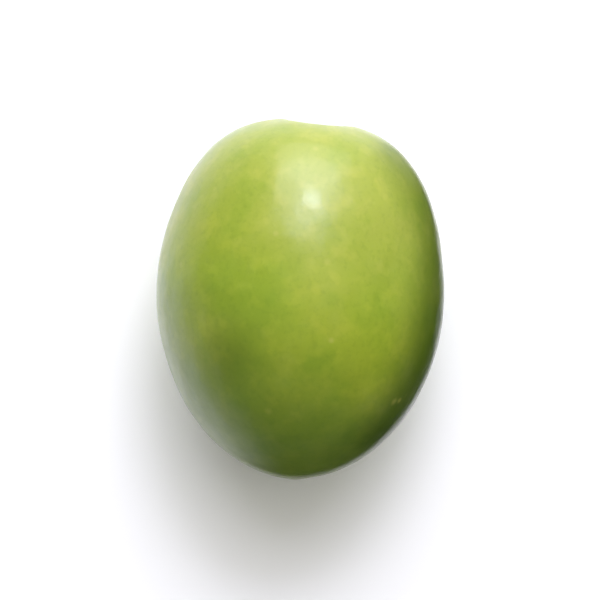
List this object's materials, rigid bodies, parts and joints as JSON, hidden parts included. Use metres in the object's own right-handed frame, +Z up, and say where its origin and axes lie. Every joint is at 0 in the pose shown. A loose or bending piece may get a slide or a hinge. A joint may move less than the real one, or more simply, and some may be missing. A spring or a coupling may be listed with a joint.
{
  "type": "olive",
  "caption": "Whole large round-oval green table olive with its stem cavity, lying on its side on a small flat spot.",
  "frame": {"origin": "on the surface that the olive lies on, under the middle of its bounding box", "axes": "+Z up from that surface, +X along the fruit towards its stem end, +Y towards its side"},
  "size_m": [0.0274, 0.022, 0.0218],
  "materials": {
    "skin": "satin"
  },
  "bodies": {
    "root": {"olive": "skin"}
  },
  "joints": []
}
